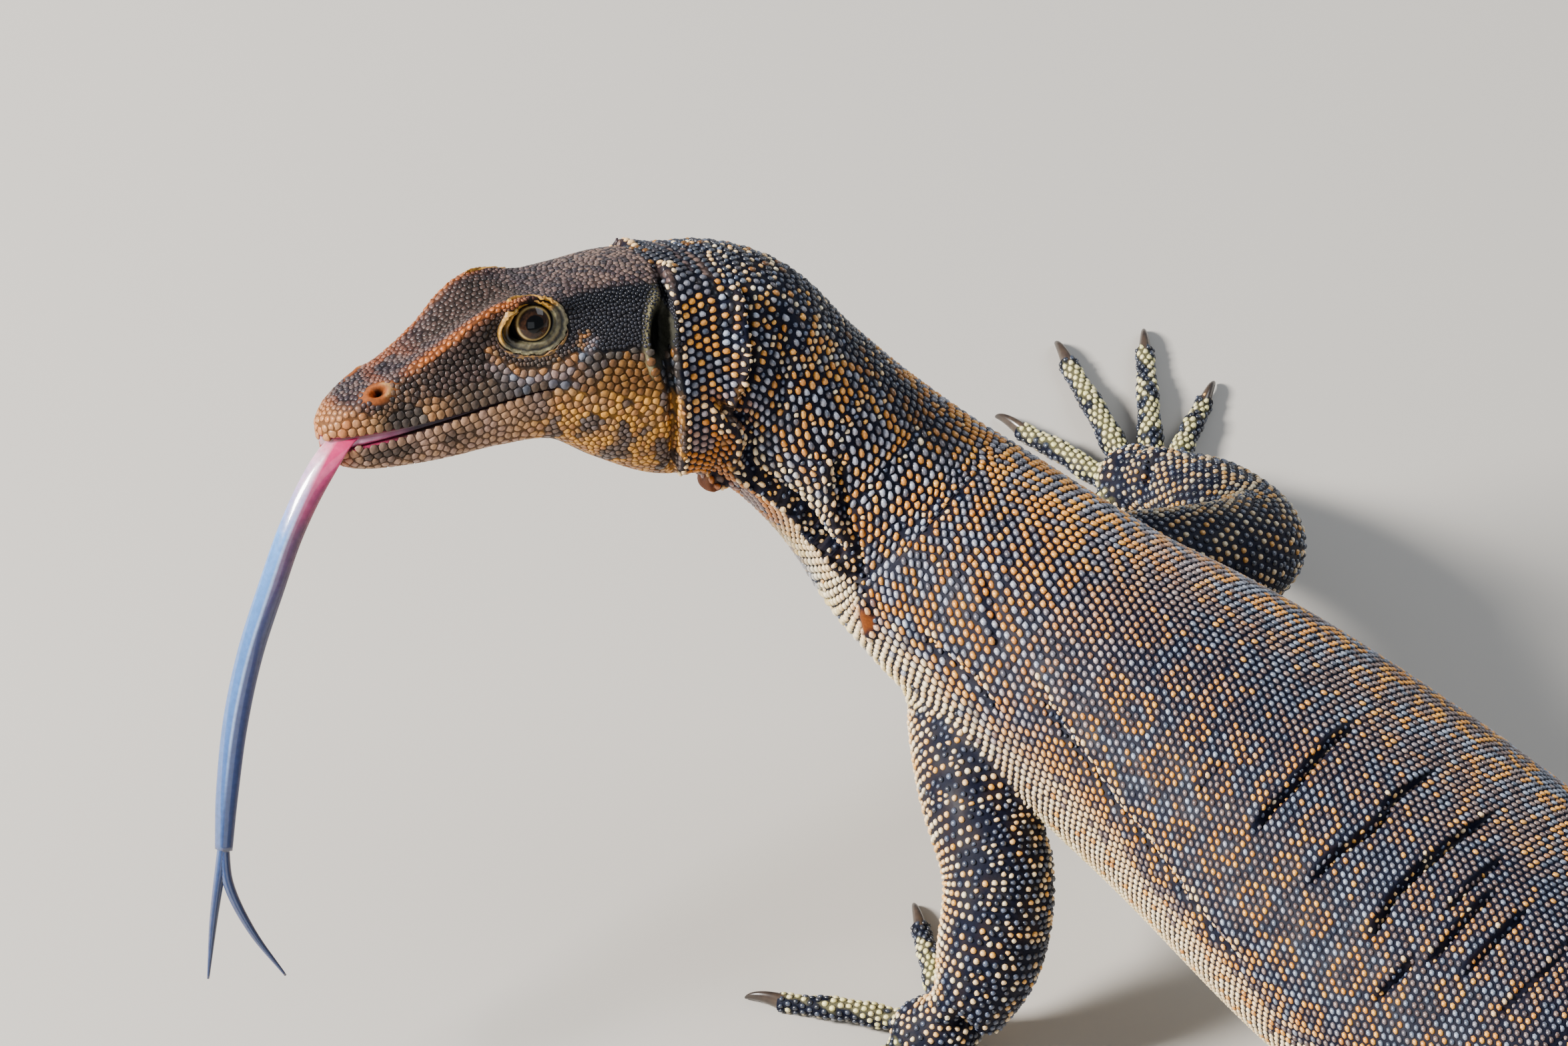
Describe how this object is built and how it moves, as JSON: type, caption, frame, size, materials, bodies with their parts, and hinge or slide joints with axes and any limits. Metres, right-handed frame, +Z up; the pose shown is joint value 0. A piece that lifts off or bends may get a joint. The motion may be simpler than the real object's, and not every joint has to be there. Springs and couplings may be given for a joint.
{
  "type": "water monitor lizard model",
  "caption": "Life-size still model of a young water monitor standing on the floor, neck raised, head turned to its left, forked tongue hanging out.",
  "frame": {"origin": "floor level under the middle of the animal's bounding box", "axes": "+Z up, the tail runs towards +X and the head looks towards -X and -Y, the animal's left side towards -Y"},
  "size_m": [1.2098, 0.3878, 0.1583],
  "materials": {
    "head_skin": "small flat scales, brown-grey with orange lips, semi-gloss",
    "jaw_skin": "tan-orange scales with grey mottling, semi-gloss",
    "back_skin": "glossy bead scales, blue-black with rings and flecks of yellow",
    "tail_skin": "keeled scales in rings, black-brown with yellow bands",
    "leg_skin": "bead scales, black with cream spots",
    "tongue": "wet, pink at the root turning blue-grey",
    "eye": "wet dark brown eye",
    "claw": "dark horn, smooth"
  },
  "bodies": {
    "root": {"head": "head_skin", "lower_jaw": "jaw_skin", "tongue": "tongue", "eye_left": "eye", "eye_right": "eye", "neck": "back_skin", "torso_front": "back_skin", "torso_rear": "back_skin", "tail_base": "tail_skin", "tail_middle": "tail_skin", "tail_rear": "tail_skin", "tail_tip": "tail_skin", "upper_arm_left": "leg_skin", "forearm_left": "leg_skin", "hand_left": "leg_skin", "thigh_left": "leg_skin", "shin_left": "leg_skin", "foot_left": "leg_skin", "claw_hand_left_1": "claw", "claw_hand_left_2": "claw", "claw_hand_left_3": "claw", "claw_hand_left_4": "claw", "claw_hand_left_5": "claw", "claw_foot_left_1": "claw", "claw_foot_left_2": "claw", "claw_foot_left_3": "claw", "claw_foot_left_4": "claw", "claw_foot_left_5": "claw", "upper_arm_right": "leg_skin", "forearm_right": "leg_skin", "hand_right": "leg_skin", "thigh_right": "leg_skin", "shin_right": "leg_skin", "foot_right": "leg_skin", "claw_hand_right_1": "claw", "claw_hand_right_2": "claw", "claw_hand_right_3": "claw", "claw_hand_right_4": "claw", "claw_hand_right_5": "claw", "claw_foot_right_1": "claw", "claw_foot_right_2": "claw", "claw_foot_right_3": "claw", "claw_foot_right_4": "claw", "claw_foot_right_5": "claw"}
  },
  "joints": []
}
